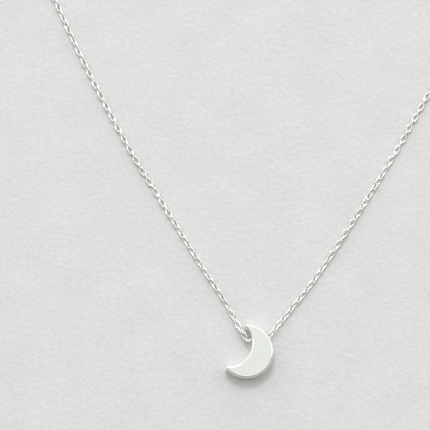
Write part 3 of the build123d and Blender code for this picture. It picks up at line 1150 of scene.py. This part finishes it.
@dataclass
class LobsterClasp:
    """The claw clasp: cast body, sprung lever on a riveted pin, and the spring inside."""

    silver: bpy.types.Material
    steel: bpy.types.Material
    eye_radius: float = 1.35 * MM
    eye_hole: float = 0.85 * MM
    loop_middle: float = 1.95 * MM
    loop_half_width: float = 0.5 * MM
    loop_height: float = 1.2 * MM
    bar_half_width: float = 0.48 * MM
    arm_half_width: float = 0.46 * MM
    arm_height: float = 1.14 * MM
    eye_wire: float = 0.25 * MM
    tail_inset: float = 0.04 * MM
    tail_height: float = 1.8 * MM
    pin_radius: float = 0.3 * MM
    voxel: float = 0.045 * MM
    level: float = 1.5 * MM
    reach: float = 2.5 * MM
    gap: float = 0.05 * MM
    heel: float = 0.8 * MM
    slot_height: float = 1.1 * MM
    slot_radius: float = 1.0 * MM
    line_y: float = 108.0 * MM
    tool_height: float = 4.0 * MM
    tool_reach: float = 6.0 * MM
    gate_edge: float = 0.38 * MM
    pin_clearance: float = 0.04 * MM
    spring_wire: float = 0.12 * MM
    spring_radius: float = 0.46 * MM
    spring_turns: float = 2.5
    spring_steps: int = 120

    def __post_init__(self) -> None:
        """Find the eye, the loop and the pivot in the frame."""
        low, high = (Vector(corner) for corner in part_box("clasp_claw"))
        self.eye = Vector((low.x + self.eye_radius, self.line_y, self.level))
        self.loop = Vector((high.x - self.loop_middle - self.loop_half_width, self.line_y,
                            self.level))
        low, high = (Vector(corner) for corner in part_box("clasp_pin"))
        self.pivot = (low + high) / 2

    def arc(self, first: float, last: float, steps: int, half_width: float, height: float
            ) -> Solid:
        """A length of the loop's bar between two bearings in degrees.

        Args:
            first: first bearing.
            last: last bearing.
            steps: number of points.
            half_width: half of the bar's width.
            height: the bar's height.

        Returns:
            Points and faces.
        """
        turns = [math.radians(first + (last - first) * (step / (steps - 1)))
                 for step in range(steps)]
        radials = [bearing(turn) for turn in turns]
        centres = [self.loop + way * self.loop_middle for way in radials]
        return sweep_loop(centres, radials, UP, [half_width] * steps, 24, closed=False,
                          squash=height / 2 / half_width)

    def domed(self, outline: Sequence[tuple[float, float]], height: float,
              crown: Sequence[tuple[float, float]]) -> Solid:
        """A cushion-shaped solid over a flat outline that narrows towards its top and foot.

        Args:
            outline: the outline at mid height.
            height: its whole height.
            crown: pairs of a height and a width, as shares of the half height and half width.

        Returns:
            Points and faces.
        """
        shares = [(-up, wide) for up, wide in reversed(crown)] + list(crown)
        points = [Vector((x, self.eye.y + (y - self.eye.y) * wide, self.level + up * height / 2))
                  for up, wide in shares for x, y in outline]
        return points, stack_faces(len(outline), len(shares))

    def cutter(self, name: str, outline: Sequence[tuple[float, float]], height: float
               ) -> bpy.types.Object:
        """An upright tool over a flat outline, centred on the clasp's level."""
        return mesh_object(name, *self.slab(outline, height, self.level), False)

    @staticmethod
    def slab(outline: Sequence[tuple[float, float]], height: float, level: float) -> Solid:
        """An upright slab over a flat outline, centred on a level."""
        points = [Vector((x, y, level + up)) for up in (-height / 2, height / 2)
                  for x, y in outline]
        return points, stack_faces(len(outline), 2)

    @staticmethod
    def circle(middle: Vector, radius: float, steps: int = 96,
               first: float = 0.0, last: float = 360.0) -> list[tuple[float, float]]:
        """Points of a circle or arc about a middle, bearings in degrees."""
        spans = steps if last - first >= 360.0 else steps - 1
        turns = [math.radians(first + (last - first) * step / spans) for step in range(steps)]
        return [(middle.x + radius * math.cos(turn), middle.y + radius * math.sin(turn))
                for turn in turns]

    def build_claw(self) -> bpy.types.Object:
        """Make the claw's cast body.

        Returns:
            The body.
        """
        ring = mesh_object("ring", *self.arc(-178.0, 200.0, 140, self.bar_half_width,
                                           self.loop_height))
        eye_x, loop_x, y = self.eye.x, self.loop.x, self.eye.y
        tail = [(eye_x + 1.0 * MM, y + 0.55 * MM), (loop_x - 2.6 * MM, y + 0.95 * MM),
                (loop_x - 1.6 * MM, y + 1.5 * MM), (loop_x - 1.15 * MM, y + 1.35 * MM),
                (loop_x - 1.62 * MM, y), (loop_x - 1.15 * MM, y - 1.35 * MM),
                (loop_x - 1.6 * MM, y - 1.5 * MM), (loop_x - 2.6 * MM, y - 0.95 * MM),
                (eye_x + 1.0 * MM, y - 0.55 * MM)]
        crown = [(0.2, 1.0), (0.45, 0.96), (0.68, 0.86), (0.86, 0.70), (0.96, 0.50), (1.0, 0.34)]
        body = mesh_object("tail", *self.domed(tail, self.tail_height - self.tail_inset, crown))
        radials = [bearing(2 * math.pi * step / 72) for step in range(72)]
        eye_points = [self.eye + way * ((self.eye_radius + self.eye_hole) / 2) for way in radials]
        eye = mesh_object("eye", *sweep_loop(eye_points, radials, UP, [self.eye_wire] * len(radials),
                                             20, squash=1.5))
        claw = join_meshes("claw_body", [ring, body, eye])
        round_and_blend(claw, self.voxel, 14)
        right = self.pivot.x + self.heel - self.gap
        reach = self.reach + self.gap
        edge = self.loop.y - self.gate_edge
        first = -math.degrees(math.acos((self.heel - self.gap) / reach))
        last = math.degrees(math.asin((edge - self.pivot.y) / reach))
        gate = [*self.circle(self.pivot, reach, 48, first, last), (right, edge)]
        cut_away(claw, self.cutter("gate_tool", gate, self.tool_height))
        slot = self.circle(self.pivot, self.slot_radius)
        cut_away(claw, self.cutter("slot_tool", slot, self.slot_height))
        shade_evenly(claw, 40.0)
        fit(claw, self.silver, "clasp", "clasp_claw")
        return claw

    def build_lever(self) -> bpy.types.Object:
        """Make the lever: its curved arm, thumb tab, tongue and barrel.

        Returns:
            The lever.
        """
        arm = mesh_object("arm", *self.arc(-126.0, -52.0, 60, self.arm_half_width,
                                          self.arm_height))
        tab_middle = self.loop + bearing(math.radians(-116.0)) * (
            self.loop_middle + self.loop_half_width + 0.02 * MM)
        profile = [(-0.5 * MM, 0.1 * MM), (-0.45 * MM, 0.3 * MM), (-0.3 * MM, 0.38 * MM),
                   (0.3 * MM, 0.38 * MM), (0.45 * MM, 0.3 * MM), (0.5 * MM, 0.1 * MM)]
        tab = mesh_object("tab", *revolve(profile, tab_middle, UP, 32))
        lever = join_meshes("claw_lever", [arm, tab])
        round_and_blend(lever, self.voxel * 0.7, 5)
        keep = self.circle(self.pivot, self.reach, 48, -80.0, 60.0)
        left = self.pivot.x + self.heel
        far = self.tool_reach
        outside = [(left, self.pivot.y + far), (left - far, self.pivot.y + far),
                   (left - far, self.pivot.y - far), (left, self.pivot.y - far)]
        cut_away(lever, self.cutter("heel_tool", outside, self.tool_height))
        beyond = list(reversed(keep)) + [
            (self.pivot.x, self.pivot.y - far), (self.pivot.x + far, self.pivot.y - far),
            (self.pivot.x + far, self.pivot.y + far), (self.pivot.x, self.pivot.y + far)]
        cut_away(lever, self.cutter("tip_tool", beyond, self.tool_height))
        floor = self.level - self.slot_height / 2 + self.pin_clearance
        barrel_profile = [(0.0, 0.56 * MM), (0.05 * MM, 0.62 * MM), (0.45 * MM, 0.62 * MM),
                          (0.5 * MM, 0.56 * MM)]
        base = Vector((self.pivot.x, self.pivot.y, floor))
        barrel = mesh_object("barrel", *revolve(barrel_profile, base, UP, 64))
        bore = self.pin_radius + self.pin_clearance
        hole = [(-1 * MM, bore), (2 * MM, bore)]
        cut_away(barrel, mesh_object("pin_tool", *revolve(hole, base, UP, 48)))
        tongue_outline = [(self.pivot.x + 0.45 * MM, self.pivot.y - 0.58 * MM),
                          (self.pivot.x + 1.1 * MM, self.pivot.y - 0.60 * MM),
                          (self.pivot.x + 1.1 * MM, self.pivot.y - 0.18 * MM),
                          (self.pivot.x + 0.45 * MM, self.pivot.y - 0.14 * MM)]
        tongue = mesh_object("tongue", *self.slab(tongue_outline, 0.5 * MM, floor + 0.25 * MM),
                             False)
        lever = join_meshes("claw_lever", [lever, barrel, tongue])
        shade_evenly(lever, 40.0)
        return fit(lever, self.silver, "clasp_lever", "clasp_lever")

    def build_pin(self) -> bpy.types.Object:
        """Make the pin, its ends riveted over into low domes.

        Returns:
            The pin.
        """
        half = self.tail_height / 2
        radius = self.pin_radius
        profile = [(-half, radius * 0.35), (-half + 0.02 * MM, radius * 0.8),
                   (-half + 0.06 * MM, radius)]
        profile += [(-along, across) for along, across in reversed(profile)]
        pin = mesh_object("claw_pin", *revolve(profile, self.pivot, UP, 48))
        shade_evenly(pin, 40.0)
        return fit(pin, self.steel, "clasp", "clasp_pin")

    def build_spring(self) -> bpy.types.Object:
        """Make the torsion spring: a short open coil round the pin.

        Returns:
            The spring.
        """
        low, high = (Vector(corner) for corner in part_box("clasp_spring"))
        wire, base = self.spring_wire, Vector((self.pivot.x, self.pivot.y, low.z))
        rise = high.z - low.z - wire
        shares = [step / self.spring_steps for step in range(self.spring_steps + 1)]
        radials = [bearing(2 * math.pi * self.spring_turns * share) for share in shares]
        centres = [base + UP * (wire / 2 + rise * share) + way * self.spring_radius
                   for share, way in zip(shares, radials)]
        spring = mesh_object("claw_spring", *sweep_loop(
            centres, radials, UP, [wire / 2] * len(centres), 12, closed=False))
        return fit(spring, self.steel, "clasp", "clasp_spring")

    def build(self) -> list[bpy.types.Object]:
        """Make the whole clasp.

        Returns:
            Its pieces.
        """
        return [self.build_claw(), self.build_lever(), self.build_pin(), self.build_spring()]


# --------------------------------------------------------------------------- stage


@dataclass
class Stage:
    """The pale sheet, the soft light from beyond the clasp, and the camera looking down."""

    sheet: bpy.types.Material
    aim: tuple[float, float, float] = (-6.468 * MM, 26.561 * MM, 0.0)
    elevation: float = math.radians(80.0)
    distance: float = 600.0 * MM
    lens: float = 262.87
    bright: Colour = (1.33, 1.33, 1.32)
    horizon: Colour = (0.45, 0.43, 0.40)
    warm: Colour = (0.30, 0.235, 0.165)
    shade: Colour = (0.25, 0.235, 0.215)
    overhead: Colour = (0.835, 0.85, 0.825)
    overhead_way: tuple[float, float, float] = (0.0, 0.1736, 0.9848)
    skyline: tuple[float, float] = (0.02, 0.3)
    warm_rise: tuple[float, float] = (0.84, 0.97)
    shade_rise: tuple[float, float] = (0.70, 0.88)
    dim_side: tuple[float, float] = (-0.15, 0.06)
    overhead_spread: tuple[float, float] = (0.972, 0.988)
    sheet_half: float = 1.5
    key_place: tuple[float, float, float] = (-0.06, 0.50, 0.76)
    key_aim: tuple[float, float, float] = (0.0, 0.03, 0.0)
    key_size: tuple[float, float] = (0.22, 0.2)
    key_power: float = 2.0
    key_colour: Colour = (1.0, 0.997, 0.99)

    def build_floor(self) -> None:
        """Lay the sheet that the necklace rests on."""
        half = self.sheet_half
        corners = [Vector((x, y, 0.0)) for x, y in
                   ((-half, -half), (half, -half), (half, half), (-half, half))]
        floor = mesh_object("floor", corners, [(0, 1, 2, 3)], False)
        dress(floor, self.sheet)

    def build_sky(self) -> None:
        """Light the room: a bright half beyond the clasp, a dim half behind the viewer."""
        world = bpy.data.worlds.new("room")
        bpy.context.scene.world = world
        world.use_nodes = True
        tree = world.node_tree
        place = tree.nodes.new("ShaderNodeTexCoord").outputs["Generated"]
        split = tree.nodes.new("ShaderNodeSeparateXYZ")
        tree.links.new(place, split.inputs["Vector"])
        toward = tree.nodes.new("ShaderNodeVectorMath")
        toward.operation = "DOT_PRODUCT"
        toward.inputs[1].default_value = self.overhead_way
        tree.links.new(place, toward.inputs[0])
        behind = map_node(tree, split.outputs["Y"], *self.dim_side, 1.0, 0.0)
        warmed = map_node(tree, split.outputs["Z"], *self.warm_rise, 1.0, 0.0)
        shaded = map_node(tree, split.outputs["Z"], *self.shade_rise, 1.0, 0.0)
        steps = [(map_node(tree, split.outputs["Z"], *self.skyline, 0.0, 1.0), self.bright),
                 (math_node(tree, "MULTIPLY", warmed, behind), self.warm),
                 (math_node(tree, "MULTIPLY", shaded, behind), self.shade),
                 (map_node(tree, toward.outputs["Value"], *self.overhead_spread, 0.0, 1.0),
                  self.overhead)]
        colour: bpy.types.NodeSocket | None = None
        for share, lit in steps:
            mix = tree.nodes.new("ShaderNodeMix")
            mix.data_type = "RGBA"
            if colour is None:
                mix.inputs["A"].default_value = (*self.horizon, 1.0)
            else:
                tree.links.new(colour, mix.inputs["A"])
            mix.inputs["B"].default_value = (*lit, 1.0)
            tree.links.new(share, mix.inputs["Factor"])
            colour = mix.outputs["Result"]
        tree.links.new(colour, tree.nodes["Background"].inputs["Color"])

    def build_key(self) -> None:
        """Add the soft rectangular light beyond the clasp, aimed at the necklace."""
        light = bpy.data.lights.new("key", "AREA")
        light.shape = "RECTANGLE"
        light.size, light.size_y = self.key_size
        light.energy = self.key_power
        light.color = self.key_colour
        holder = bpy.data.objects.new("key", light)
        holder.location = self.key_place
        aim = Vector(self.key_aim) - Vector(self.key_place)
        holder.rotation_euler = aim.to_track_quat("-Z", "Y").to_euler()
        bpy.context.scene.collection.objects.link(holder)

    def build_camera(self) -> None:
        """Place the camera at the viewing angle."""
        camera = bpy.data.cameras.new("camera")
        camera.lens = self.lens
        camera.sensor_width = 36.0
        camera.clip_start = 0.01
        camera.clip_end = 20.0
        holder = bpy.data.objects.new("camera", camera)
        aim = Vector(self.aim)
        back = Vector((0.0, -math.cos(self.elevation), math.sin(self.elevation)))
        holder.location = aim + back * self.distance
        holder.rotation_euler = (-back).to_track_quat("-Z", "Y").to_euler()
        bpy.context.scene.collection.objects.link(holder)
        bpy.context.scene.camera = holder

    def build(self) -> None:
        """Set the whole stage."""
        self.build_floor()
        self.build_sky()
        self.build_key()
        self.build_camera()
        view = bpy.context.scene.view_settings
        view.view_transform = "Standard"
        view.look = "None"


def main() -> None:
    """Build the necklace round its frame, piece by piece, and set the stage."""
    logging.basicConfig(level=logging.INFO, format="%(name)s: %(message)s")
    groups = {"scratches": build_scratch_group(), "handling": build_handling_group()}
    silver = {finish.name: finish.build(groups)
              for finish in (MOON_SILVER, CHAIN_SILVER, FINDINGS_SILVER, SPRING_STEEL)}
    findings = silver[FINDINGS_SILVER.name]
    moon = MoonBead(silver[MOON_SILVER.name]).build()
    LOG.info("moon bead: %d faces", len(moon.data.polygons))
    clasp = LobsterClasp(findings, silver[SPRING_STEEL.name]).build()
    rings = Rings(findings).build()
    LOG.info("clasp, rings and extender: %d pieces", len(clasp) + len(rings))
    for strand in CableChain(silver[CHAIN_SILVER.name]).build([*clasp, *rings]):
        LOG.info("%s: %d faces", strand.name, len(strand.data.polygons))
    Stage(SurfaceFinish().build()).build()


if __name__ == "__main__":
    main()
